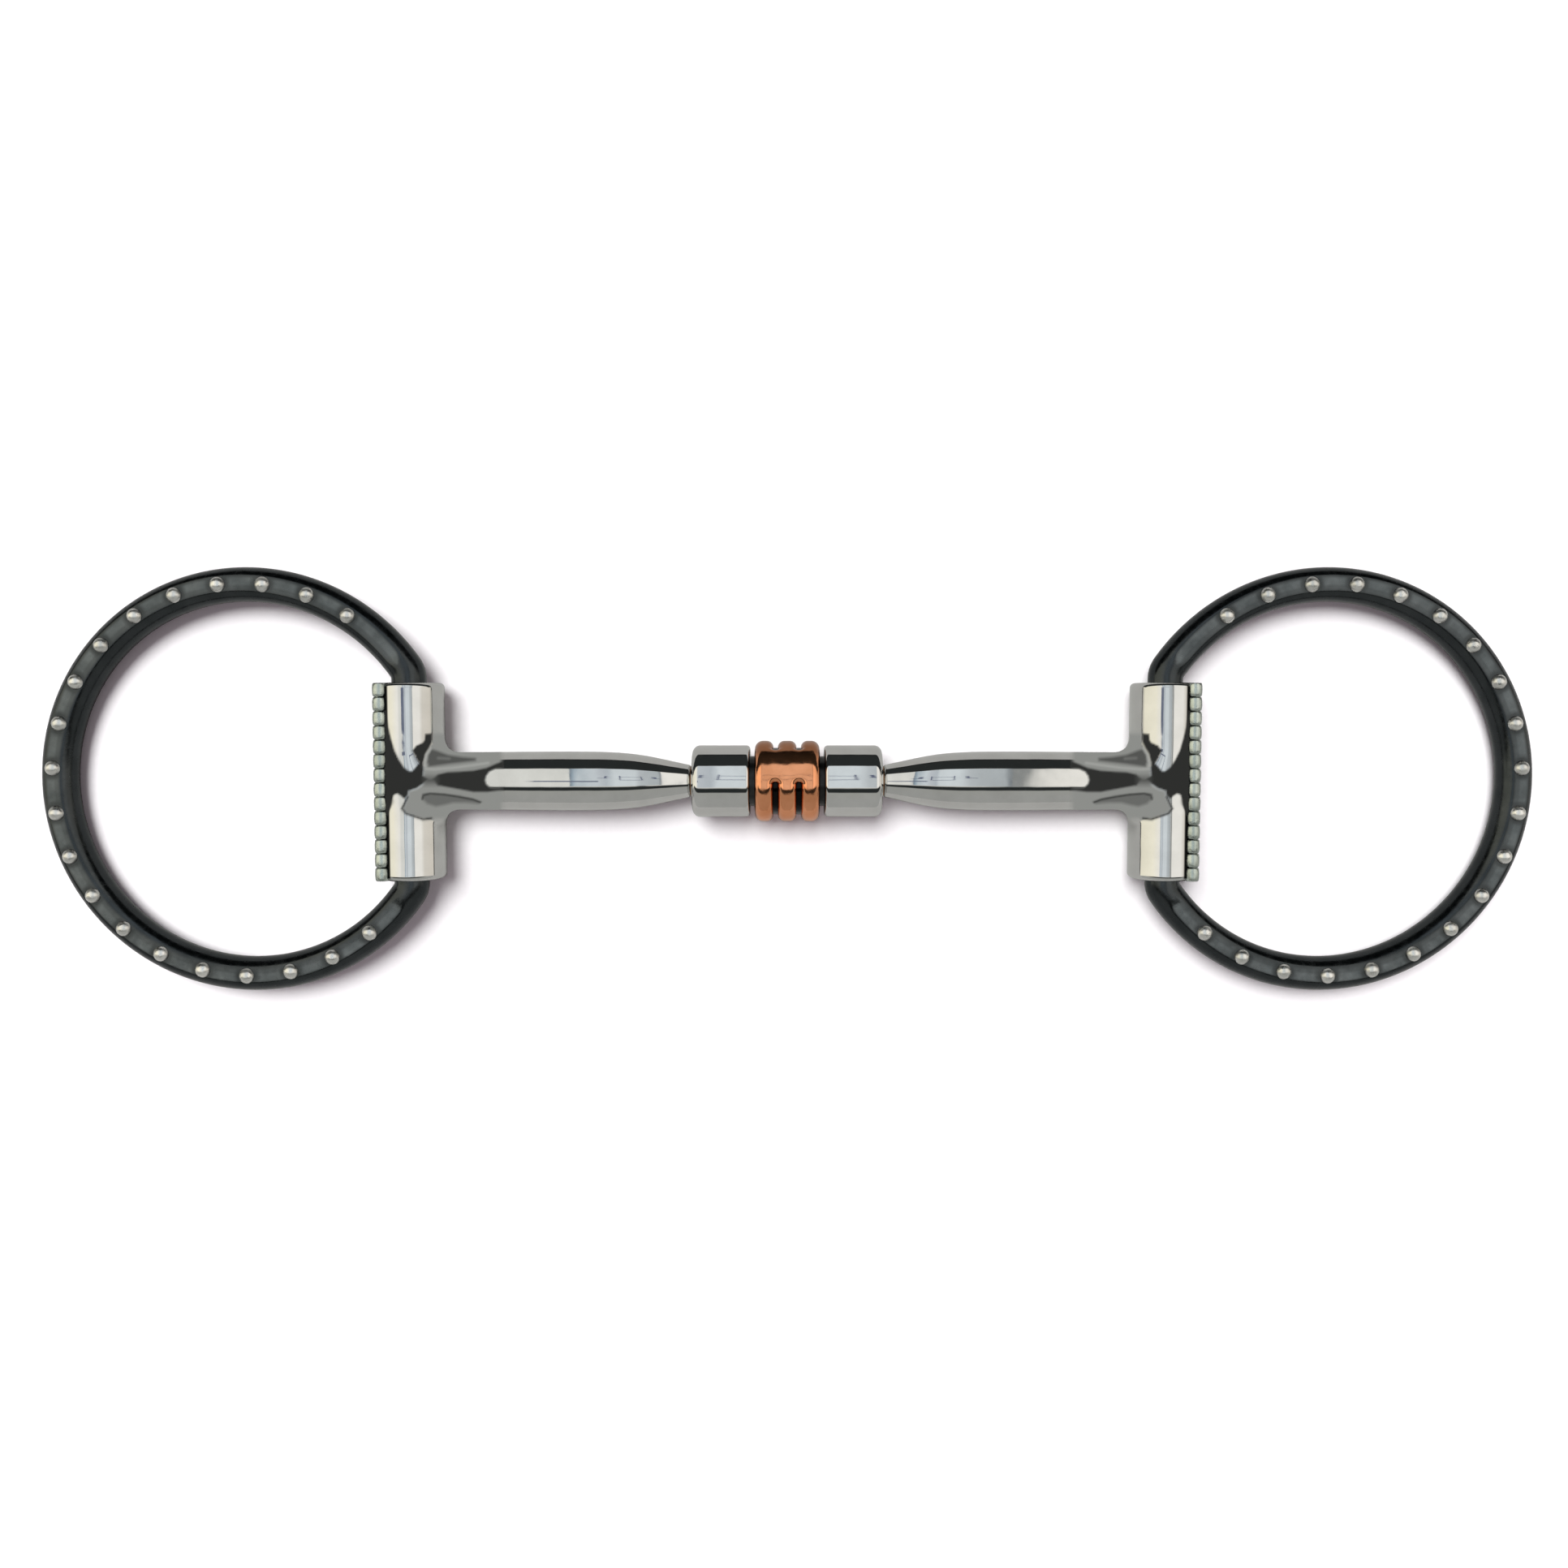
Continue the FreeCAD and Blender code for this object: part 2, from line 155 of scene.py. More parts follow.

# Painted reflection on the weld's saddle, outlines traced from the photograph, in millimetres outward from
# the sleeve's axis and up the bit: kind, tone (None takes the painted tone away again), softness and outline
WELD_STROKE = 0.17
SADDLE_REFLECTION_SHAPES = (
    ("area", 0.265, 0.9, (
        (-4.1, 8.8), (-4.0, 7.1), (-3.5, 6.1), (-2.8, 5.0), (-2.4, 3.5), (-2.2, -0.6), (-1.0, -1.4),
        (0.5, -1.9), (0.6, -3.0), (1.7, -5.2), (1.0, -6.1), (-2.1, -7.3), (-3.7, -7.1), (-7.2, -7.1),
        (-7.7, -6.1), (-16.9, -6.1), (-16.9, 6.3), (-8.1, 6.3), (-7.7, 8.8))),
    ("area", None, 0.3, (
        (-18.6, 2.3), (-15.7, 2.2), (-14.6, 1.7), (-14.0, 0.9), (-13.8, 0.1), (-14.0, -0.6), (-14.6, -1.2),
        (-15.5, -1.35), (-18.5, -1.25))),
    ("area", 0.09, 0.6, (
        (-3.9, 5.9), (-4.9, 5.6), (-7.0, 4.8), (-9.6, 4.4), (-12.1, 4.2), (-12.1, 3.7), (-9.6, 3.4),
        (-7.0, 3.1), (-4.8, 2.8), (-3.4, 2.6), (-3.1, 3.5), (-3.3, 4.8))),
    ("line", 0.17, 0.6, ((-5.2, 4.2), (-7.2, 4.1))),
    ("area", 0.14, 0.7, (
        (-2.2, -2.5), (-3.1, -2.3), (-6.3, -2.5), (-8.9, -2.8), (-11.5, -3.4), (-13.0, -3.9), (-12.5, -4.3),
        (-10.2, -4.1), (-7.8, -4.1), (-6.2, -4.5), (-4.6, -4.8), (-3.0, -4.3), (-2.1, -3.4))),
    ("line", 0.045, 0.35, (
        (-2.1, -3.4), (-2.3, -2.7), (-3.6, -2.4), (-6.3, -2.6), (-8.9, -3.0), (-11.5, -3.5), (-12.8, -4.0))),
    ("line", 0.37, 0.5, (
        (-3.8, 6.0), (-3.0, 4.8), (-2.7, 3.2), (-2.8, 2.2), (-4.3, 2.1), (-8.0, 2.4), (-11.7, 2.9),
        (-14.4, 3.3))),
    ("area", 0.030, 0.45, (
        (-4.1, 0.3), (-5.1, 1.2), (-6.9, 1.6), (-9.0, 1.7), (-11.7, 1.9), (-14.1, 2.4), (-15.7, 3.1),
        (-17.3, 3.7), (-17.3, 2.3), (-15.7, 2.2), (-14.6, 1.7), (-14.0, 0.9), (-13.8, 0.1), (-14.0, -0.6),
        (-14.6, -1.2), (-15.5, -1.35), (-17.3, -1.25), (-17.3, -1.8), (-16.3, -1.85), (-14.2, -2.1),
        (-11.6, -2.1), (-8.9, -1.6), (-6.8, -1.2), (-5.0, -0.9))),
    ("area", 0.028, 0.35, (
        (6.4, 13.0), (4.4, 13.0), (4.0, 10.0), (3.4, 7.4), (2.9, 5.6), (2.1, 3.9), (1.2, 2.5), (0.3, 1.8),
        (-0.3, 1.8), (-1.6, 3.2), (-0.9, 4.5), (-0.4, 5.6), (-1.1, 6.5), (-2.4, 7.1), (-2.7, 7.6),
        (-2.8, 8.7), (-4.1, 8.8), (-4.0, 7.1), (-3.5, 6.1), (-2.8, 5.0), (-2.4, 3.5), (-2.3, 0.9),
        (-3.2, 0.3), (-2.2, -0.6), (-1.0, -1.4), (0.5, -1.9), (0.6, -2.7), (1.3, -3.4), (1.9, -2.8),
        (2.6, -2.4), (3.2, -2.7), (3.8, -4.5), (4.3, -6.5), (6.4, -7.0))),
    ("area", 0.075, 1.6, ((-2.6, 0.7), (-4.8, 0.7), (-4.8, -0.6), (-2.6, -0.6))),
    ("line", 0.030, 0.35, ((0.6, -3.0), (1.7, -5.2), (1.0, -6.1), (-2.2, -7.2), (-3.7, -7.0))),
)


# ---------------------------------------------------------------- meshes

def mesh_object(name, points, faces, material, normals=None):
    """A smooth-shaded object from points in millimetres."""
    mesh = bpy.data.meshes.new(name)
    mesh.from_pydata([tuple(p) for p in np.asarray(points) * MM], [], faces)
    mesh.validate()
    for polygon in mesh.polygons:
        polygon.use_smooth = True
    if normals is not None:
        mesh.normals_split_custom_set_from_vertices([tuple(n) for n in normals])
    mesh.materials.append(material)
    made = bpy.data.objects.new(name, mesh)
    bpy.context.scene.collection.objects.link(made)
    return made


def grid_faces(rows, columns, close_rows=False, close_columns=True):
    """Quads of a grid whose points are stored row by row."""
    faces = []
    for i in range(rows if close_rows else rows - 1):
        for j in range(columns if close_columns else columns - 1):
            a, b = i, (i + 1) % rows
            c, d = j, (j + 1) % columns
            faces.append((a * columns + c, a * columns + d, b * columns + d, b * columns + c))
    return faces


def lathe(profile, origin, axis, across, segments, closed=False):
    """Points and faces of a profile of (distance along, radius) turned about an axis."""
    axis, across, origin = Vector(axis), Vector(across), Vector(origin)
    third = axis.cross(across)
    points = []
    for along, radius in profile:
        for j in range(segments):
            turn = 2 * math.pi * j / segments
            side = across * math.cos(turn) + third * math.sin(turn)
            points.append(origin + axis * along + side * radius)
    faces = grid_faces(len(profile), segments, close_rows=closed)
    return points, faces


def rounded(points, radii, steps=10):
    """A polyline in the plane with its inner corners rounded, one radius per corner."""
    made = [points[0]]
    for before, corner, after, radius in zip(points, points[1:], points[2:], radii):
        here = Vector(corner)
        into, out = (Vector(before) - here).normalized(), (Vector(after) - here).normalized()
        half = into.angle(out) / 2
        reach = radius / math.tan(half)
        centre = here + (into + out).normalized() * (radius / math.sin(half))
        start, end = here + into * reach - centre, here + out * reach - centre
        sweep = start.angle_signed(end)
        for s in range(steps + 1):
            turned = start.copy()
            turned.rotate(Matrix.Rotation(-sweep * s / steps, 2))
            made.append(tuple(centre + turned))
    made.append(points[-1])
    return made


def mirrored(points, faces, side, normals=None):
    """The same piece for the side asked for: 1 is right, -1 is left."""
    points = np.array([tuple(p) for p in points], float)
    if side < 0:
        points[:, 0] *= -1
        faces = [tuple(reversed(f)) for f in faces]
        if normals is not None:
            normals = np.array(normals, float) * (-1, 1, 1)
    return points, faces, normals


def joined(parts):
    """Several (points, faces) as one."""
    points, faces = [], []
    for some_points, some_faces in parts:
        base = len(points)
        points.extend(tuple(p) for p in some_points)
        faces.extend(tuple(i + base for i in f) for f in some_faces)
    return points, faces


# ---------------------------------------------------------------- arm and sleeve

def arm_radius(distance):
    """Radius of the arm at a distance from its barrel end, smooth through the stations."""
    x, y = np.array(ARM_STATIONS), np.array(ARM_DIAMETERS) / 2
    slope = np.gradient(y, x)
    k = np.clip(np.searchsorted(x, distance) - 1, 0, len(x) - 2)
    h = x[k + 1] - x[k]
    t = np.clip((distance - x[k]) / h, 0, 1)
    return (
        y[k] * (1 + 2 * t) * (1 - t) ** 2
        + y[k + 1] * t * t * (3 - 2 * t)
        + h * slope[k] * t * (1 - t) ** 2
        - h * slope[k + 1] * t * t * (1 - t)
    )


def rounded_end(across, along, edge):
    """Distance to a cylinder's outline from how far a point is outside its side and its end."""
    a, b = across + edge, along + edge
    return np.hypot(np.maximum(a, 0), np.maximum(b, 0)) + np.minimum(np.maximum(a, b), 0) - edge


def arm_distance(p):
    """Distance in millimetres from points to the arm's surface."""
    distance = p[:, 0] - ARM_START
    share = distance / (SLEEVE_X - ARM_START)
    centre_z = BARREL_Z - (BARREL_Z - SLEEVE_Z) * np.clip(share, 0, 1) ** 2
    across = np.hypot(p[:, 1], p[:, 2] - centre_z) - arm_radius(distance)
    beyond = p[:, 0] - (SLEEVE_X + ARM_PAST_AXIS)
    return np.maximum(rounded_end(across, -distance, ARM_EDGE), beyond)


def sleeve_distance(p):
    """Distance in millimetres from points to the sleeve's outer surface."""
    across = np.hypot(p[:, 0] - SLEEVE_X, p[:, 2] - SLEEVE_Z) - SLEEVE_RADIUS
    return rounded_end(across, np.abs(p[:, 1]) - SLEEVE_HALF, SLEEVE_EDGE)


def welded_distance(p):
    """The arm and the sleeve run together in a soft polished weld, tighter underneath."""
    a, b = arm_distance(p), sleeve_distance(p)
    blend = ARM_BLEND * np.clip(p[:, 2] / 3.0, 0.02, 1)
    h = np.maximum(blend - np.abs(a - b), 0) / blend
    return np.minimum(a, b) - h * h * blend / 4


def gradient(field, p, step=0.02):
    """Unit normals of a distance field."""
    made = np.zeros_like(p)
    for k in range(3):
        shift = np.zeros(3)
        shift[k] = step
        made[:, k] = (field(p + shift) - field(p - shift)) / (2 * step)
    return made / np.maximum(np.linalg.norm(made, axis=1, keepdims=True), 1e-9)


def welded_mesh():
    """A fine even mesh of the arm and sleeve skin on the right side, as a bmesh in millimetres."""
    length = SLEEVE_X - ARM_START
    arm = [(0, 0.01), (0, 2.9), (8, 4.4), (18, 5.4), (length, 5.3), (length, 0.01)]
    sleeve = [
        (-SLEEVE_HALF, 0.01), (-SLEEVE_HALF, SLEEVE_RADIUS),
        (SLEEVE_HALF, SLEEVE_RADIUS), (SLEEVE_HALF, 0.01)]
    tube = lathe(arm, (ARM_START, 0, BARREL_Z), (1, 0, 0), (0, 1, 0), 48)
    shell = lathe(sleeve, (SLEEVE_X, 0, SLEEVE_Z), (0, 1, 0), (0, 0, 1), 64)
    points, faces = joined([tube, shell])
    rough = mesh_object("weld_base", points, faces, STEEL)
    fixer = bmesh.new()
    fixer.from_mesh(rough.data)
    bmesh.ops.remove_doubles(fixer, verts=fixer.verts, dist=0.00003)
    bmesh.ops.holes_fill(fixer, edges=fixer.edges)
    bmesh.ops.recalc_face_normals(fixer, faces=fixer.faces)
    fixer.to_mesh(rough.data)
    fixer.free()
    remesh = rough.modifiers.new("even", "REMESH")
    remesh.mode = "VOXEL"
    remesh.voxel_size = SKIN_VOXEL * MM
    evaluated = rough.evaluated_get(bpy.context.evaluated_depsgraph_get())
    skin = bmesh.new()
    skin.from_mesh(evaluated.to_mesh())
    bmesh.ops.scale(skin, vec=(1 / MM,) * 3, verts=skin.verts)
    bpy.data.objects.remove(rough)
    return skin


def onto(field, p, rounds=12):
    """Points moved onto a field's surface."""
    for _ in range(rounds):
        p = p - gradient(field, p) * field(p)[:, None]
    return p


def cut(source, planes):
    """A copy of a bmesh with what lies beyond each (point, outward normal) plane removed."""
    made = source.copy()
    for point, normal in planes:
        everything = made.verts[:] + made.edges[:] + made.faces[:]
        bmesh.ops.bisect_plane(
            made, geom=everything, plane_co=point, plane_no=normal, clear_outer=True, dist=1e-5)
    made.verts.index_update()
    points = np.array([v.co for v in made.verts], float)
    faces = [tuple(v.index for v in f.verts) for f in made.faces]
    made.free()
    return points, faces


def sleeve_ends():
    """Both end faces and the bore, as one turned shell."""
    e = SLEEVE_EDGE
    half = [(SLEEVE_SIDE_END, SLEEVE_RADIUS)]
    for s in range(1, 9):
        turn = math.pi / 2 * s / 8
        half.append((SLEEVE_HALF - e + e * math.sin(turn), SLEEVE_RADIUS - e + e * math.cos(turn)))
    half += [
        (SLEEVE_HALF, BORE_RADIUS + 0.36), (SLEEVE_HALF - 0.34, BORE_RADIUS),
        (SLEEVE_HALF - 0.6, BORE_RADIUS)]
    profile = half + [(-a, r) for a, r in reversed(half)]
    return lathe(profile, (SLEEVE_X, 0, SLEEVE_Z), (0, 1, 0), (0, 0, 1), 192)


def build_arms_and_sleeves():
    """The visible arm and sleeve of each side, split where the weld ends."""
    skin = welded_mesh()
    points = onto(welded_distance, np.array([v.co for v in skin.verts], float))
    for vertex, p in zip(skin.verts, points):
        vertex.co = p
    seam = (SEAM_X, 0, 0)
    near_end = ((0, -SLEEVE_SIDE_END, 0), (0, -1, 0))
    far_end = ((0, SLEEVE_SIDE_END, 0), (0, 1, 0))
    arm = cut(skin, [(seam, (1, 0, 0))])
    sleeve = cut(skin, [(seam, (-1, 0, 0)), far_end, near_end])
    skin.free()
    for side, name in SIDES:
        for node, (some_points, faces) in (("mouth_arm", arm), ("cheek_sleeve", sleeve)):
            on_skin = onto(welded_distance, some_points, 3)
            # A point of the seam keeps its plane, so that both pieces share it
            on_seam = np.abs(some_points[:, 0] - SEAM_X) < 1e-3
            on_skin[:, 0] = np.where(on_seam, some_points[:, 0], on_skin[:, 0])
            normals = gradient(welded_distance, on_skin)
            if node == "cheek_sleeve":
                turned, turned_faces = sleeve_ends()
                turned = np.array([tuple(p) for p in turned])
                smooth = turned_normals(turned, turned_faces)
                base = len(on_skin)
                on_skin = np.vstack([on_skin, turned])
                normals = np.vstack([normals, smooth])
                faces = faces + [tuple(i + base for i in f) for f in turned_faces]
            # Painted reflection of the weld's saddle, stored at each point for the steel's material
            tone, cover = saddle_reflection_paint(on_skin)
            p, f, n = mirrored(on_skin, faces, side, normals)
            made = mesh_object(f"{name}_{node}_polished", p, f, STEEL, n)
            mark(made, "weld_tone", tone)
            mark(made, "weld_cover", cover)
            attach(made, f"{name}_arm", f"{name}_{node}")


def to_segment(p, a, b):
    """Distance in the plane from points to a straight segment."""
    along = b - a
    t = np.clip((p - a) @ along / (along @ along), 0, 1)
    return np.linalg.norm(p - a - t[:, None] * along, axis=1)


def depth_inside(p, outline):
    """Distance in the plane from points to a closed outline, positive inside."""
    corners = np.array(outline, float)
    nearest = np.full(len(p), np.inf)
    inside = np.zeros(len(p), bool)
    for a, b in zip(corners, np.roll(corners, -1, axis=0)):
        nearest = np.minimum(nearest, to_segment(p, a, b))
        if a[1] != b[1]:
            crosses = (a[1] > p[:, 1]) != (b[1] > p[:, 1])
            inside ^= crosses & (p[:, 0] < a[0] + (p[:, 1] - a[1]) / (b[1] - a[1]) * (b[0] - a[0]))
    return np.where(inside, nearest, -nearest)


def depth_along(p, line):
    """How deep points lie inside a stroke drawn along a polyline."""
    corners = np.array(line, float)
    nearest = np.full(len(p), np.inf)
    for a, b in zip(corners[:-1], corners[1:]):
        nearest = np.minimum(nearest, to_segment(p, a, b))
    return WELD_STROKE - nearest


def saddle_reflection_paint(points):
    """Tone and cover, at each point, of the painted reflection on the weld's saddle, as seen from above."""
    drop = 1 / (1 - (points[:, 2] - SLEEVE_Z) / CAMERA_DISTANCE)
    over_y = CAMERA_DISTANCE * math.sin(CAMERA_TILT)
    seen = np.stack([points[:, 0] * drop - SLEEVE_X, over_y + (points[:, 1] - over_y) * drop], axis=1)
    tone, cover = np.zeros(len(points)), np.zeros(len(points))
    for kind, shade, softness, outline in SADDLE_REFLECTION_SHAPES:
        depth = depth_inside(seen, outline) if kind == "area" else depth_along(seen, outline)
        share = np.clip(0.5 + depth / softness, 0, 1) * (points[:, 2] > SLEEVE_Z)
        if shade is None:
            cover = cover * (1 - share)
            continue
        total = cover * (1 - share) + share
        tone = (tone * cover * (1 - share) + shade * share) / np.maximum(total, 1e-9)
        cover = total
    return tone, cover


def turned_normals(points, faces):
    """Average normals of a shell's points."""
    normals = np.zeros_like(points)
    f = np.array(faces)
    flat = np.cross(points[f[:, 2]] - points[f[:, 0]], points[f[:, 3]] - points[f[:, 1]])
    for k in range(4):
        np.add.at(normals, f[:, k], flat)
    return normals / np.maximum(np.linalg.norm(normals, axis=1, keepdims=True), 1e-12)


# ---------------------------------------------------------------- barrel

def build_caps():
    """Two polished cups with rounded edges and a bore in the end wall."""
    inner, outer = CAP_LOW.x, CAP_HIGH.x
    wall = outer - 3.2
    profile = rounded(
        [(wall, 4.6), (inner, 4.6), (inner, CAP_RADIUS), (outer, CAP_RADIUS), (outer, 2.46), (wall, 2.46)],
        [0.15, 0.7, 1.35, 0.12])
    for side, name in SIDES:
        points, faces = lathe(profile, (0, 0, BARREL_Z), (1, 0, 0), (0, 1, 0), 160, closed=True)
        p, f, _ = mirrored(points, faces, side)
        made = mesh_object(f"{name}_barrel_cap_polished", p, f, CAP_STEEL)
        attach(made, "barrel", f"{name}_barrel_cap")


def slot_depth(x, angle):
    """How far the roller's surface lies below its full radius, at x and at degrees from the top."""
    depth = 0.0
    past = (angle - SLOT_START) % 360 - SLOT_SWEEP
    beyond = math.radians(max(min(past, 360 - SLOT_SWEEP - past), 0.0)) * ROLLER_RADIUS
    for centre in (-SLOT_PLACE, SLOT_PLACE):
        away = math.hypot(x - centre, beyond) - SLOT_WIDTH / 2
        if away < -0.03:
            depth = max(depth, SLOT_DEPTH)
        elif away < SLOT_EDGE:
            rise = SLOT_EDGE - max(away, 0.0)
            depth = max(depth, SLOT_EDGE - math.sqrt(SLOT_EDGE**2 - rise**2))
    shoulder = abs(x) - (ROLLER_HIGH.x - ROLLER_EDGE)
    if shoulder > 0:
        depth = max(depth, ROLLER_EDGE - math.sqrt(max(ROLLER_EDGE**2 - shoulder**2, 0.0)))
    return depth


def build_roller():
    """The copper drum with three ridges parted by two slots that stop at a land on the front."""
    half = ROLLER_HIGH.x
    fine = np.arange(-SLOT_EDGE - 0.6, SLOT_EDGE + 0.61, 0.05)
    coarse = np.concatenate([np.linspace(-half, ROLLER_EDGE - half, 24), np.linspace(-0.4, 0.4, 5)])
    across = np.unique(np.round(np.concatenate([coarse, -coarse, fine - SLOT_PLACE, fine + SLOT_PLACE]), 4))
    tips = [np.arange(a - 12, a + 12, 0.4) for a in (SLOT_START, SLOT_START + SLOT_SWEEP)]
    turns = np.unique(np.round(np.mod(np.concatenate([np.arange(0, 360, 1.5)] + tips), 360), 3))
    points = []
    lip = [(half, 5.5), (half, ROLLER_BORE + 0.14), (half - 0.1, ROLLER_BORE)]
    ends = lip + [(-x, r) for x, r in reversed(lip)]
    for turn in turns:
        a = math.radians(turn)
        ring = [(x, ROLLER_RADIUS - slot_depth(x, turn)) for x in across] + ends
        points += [(x, -r * math.sin(a), BARREL_Z + r * math.cos(a)) for x, r in ring]
    faces = grid_faces(len(turns), len(across) + len(ends), close_rows=True)
    faces = [tuple(reversed(f)) for f in faces]
    made = mesh_object("copper_roller_ridged", points, faces, COPPER)
    attach(made, "roller", "copper_roller")


# ---------------------------------------------------------------- beads, ring, studs

def build_beads():
    """A row of round beads with dark waists along each sleeve."""
    pitch = 2 * SLEEVE_HALF / BEAD_COUNT
    profile = [(-SLEEVE_HALF + 0.2, 0.02)]
    for i in range(BEAD_COUNT):
        middle = (i - (BEAD_COUNT - 1) / 2) * pitch
        reach = (pitch - BEAD_GAP) / 2
        for s in range(17):
            turn = math.pi * (s / 16 - 0.5)
            crown = max(math.cos(turn), 0.0) ** 0.4
            profile.append((middle + reach * math.sin(turn), BEAD_WAIST + (BEAD_RADIUS - BEAD_WAIST) * crown))
    profile.append((SLEEVE_HALF - 0.2, 0.02))
    for side, name in SIDES:
        points, faces = lathe(profile, (BEAD_X, 0, BEAD_Z), (0, 1, 0), (0, 0, 1), 40)
        p, f, _ = mirrored(points, faces, side)
        made = mesh_object(f"{name}_bead_trim_beaded", p, f, BEADS)
        attach(made, f"{name}_arm", f"{name}_bead_trim")


def ring_path():
    """Points round the ring's closed centreline: x, y, the in-plane angle of the outward normal, and the
    degrees along the round arc, or None beside the sleeve."""
    neck_y = math.sqrt((RING_RADIUS - NECK_BEND) ** 2 - (RING_OFFSET - NECK_BEND) ** 2)
    neck_angle = math.degrees(math.atan2(neck_y, NECK_BEND - RING_OFFSET))
    path = []
    for s in np.linspace(-neck_angle, neck_angle, 420):
        a = math.radians(s)
        path.append((RING_OFFSET + RING_RADIUS * math.cos(a), RING_RADIUS * math.sin(a), a, s))
    for s in np.linspace(neck_angle, 180, 22)[1:]:
        a = math.radians(s)
        path.append((NECK_BEND + NECK_BEND * math.cos(a), neck_y + NECK_BEND * math.sin(a), a, None))
    for y in np.linspace(neck_y, -neck_y, 30)[1:]:
        path.append((0, y, math.pi, None))
    for s in np.linspace(-180, -neck_angle, 22)[1:-1]:
        a = math.radians(s)
        path.append((NECK_BEND + NECK_BEND * math.cos(a), -neck_y + NECK_BEND * math.sin(a), a, None))
    return path


def at_rest(points):
    """Points of the flat ring, turned in the sleeve to where the ring rests."""
    p = np.array([tuple(q) for q in points], float)
    x = p[:, 0] * math.cos(RING_DROOP) + p[:, 2] * math.sin(RING_DROOP)
    z = -p[:, 0] * math.sin(RING_DROOP) + p[:, 2] * math.cos(RING_DROOP)
    return np.stack([x + SLEEVE_X, p[:, 1], z + SLEEVE_Z], axis=1)


def stud_angles():
    """Degrees along the arc of each stud."""
    return [(i - (STUD_COUNT - 1) / 2) * STUD_PITCH + STUD_SHIFT for i in range(STUD_COUNT)]


def build_rings():
    """The blue-black ring wire with a flat on its front that fades out in a leaf near each neck."""
    section = 112
    studs = stud_angles()
    points, flat, halo = [], [], []
    for x, y, angle, arc in ring_path():
        past = BESIDE_SLEEVE if arc is None else max(0.0, (abs(arc) - FACET_END) / FACET_FADE)
        limit = FACET_HEIGHT + (WIRE_RADIUS - FACET_HEIGHT) * past**2
        along = RING_RADIUS if arc is None else math.radians(min(abs(arc - a) for a in studs)) * RING_RADIUS
        half_flat = math.sqrt(max(WIRE_RADIUS**2 - limit**2, 0.0))
        for j in range(section):
            turn = 2 * math.pi * j / section
            across, up = WIRE_RADIUS * math.cos(turn), WIRE_RADIUS * math.sin(turn)
            on_front = 1.0 if up > 0 else 0.0
            outer = 0.5 + 0.5 * min(max((across + 0.55) / 0.4, 0.0), 1.0)
            flat.append(on_front * outer * min(max((half_flat - abs(across)) / 0.55, 0.0), 1.0))
            halo.append(on_front * min(max((2.5 - math.hypot(along, across)) / 0.7, 0.0), 1.0))
            h = max(FACET_EDGE - abs(up - limit), 0) / FACET_EDGE
            up = min(up, limit) - h * h * 0.03
            points.append((x + across * math.cos(angle), y + across * math.sin(angle), up))
    faces = [tuple(reversed(f)) for f in grid_faces(len(points) // section, section, close_rows=True)]
    for side, name in SIDES:
        p, f, _ = mirrored(at_rest(points), faces, side)
        made = mesh_object(f"{name}_cheek_ring_wire", p, f, BLUED)
        mark(made, "flat", flat)
        mark(made, "halo", halo)
        attach(made, f"{name}_ring", f"{name}_cheek_ring")


def mark(made, name, values):
    """Stores a number at each point of a piece, for its material to read."""
    made.data.attributes.new(name, "FLOAT", "POINT").data.foreach_set("value", values)


def build_studs():
    """Domed silver heads on the ring's front flat."""
    ball = (STUD_RADIUS**2 + STUD_HEIGHT**2) / (2 * STUD_HEIGHT)
    widest = math.asin(min(1.0, STUD_RADIUS / ball))
    profile = [(STUD_HEIGHT, 0.001)]
    for s in range(1, 11):
        turn = widest * s / 10
        profile.append((STUD_HEIGHT - ball + ball * math.cos(turn), ball * math.sin(turn)))
    profile += [(-0.2, STUD_RADIUS * 0.96), (-0.2, 0.01)]
    heads = []
    for angle in [math.radians(a) for a in stud_angles()]:
        seat = (RING_OFFSET + RING_RADIUS * math.cos(angle), RING_RADIUS * math.sin(angle), FACET_HEIGHT)
        heads.append(lathe(profile, seat, (0, 0, 1), (1, 0, 0), 36))
    points, faces = joined(heads)
    faces = [tuple(reversed(f)) for f in faces]
    for side, name in SIDES:
        p, f, _ = mirrored(at_rest(points), faces, side)
        made = mesh_object(f"{name}_ring_studs_domed", p, f, STUDS)
        attach(made, f"{name}_ring", f"{name}_ring_studs")


def attach(made, body, node):
    """The piece rides on a body and stands for a CAD node, which it hides."""
    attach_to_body(made, body)
    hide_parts(node)


# ---------------------------------------------------------------- materials

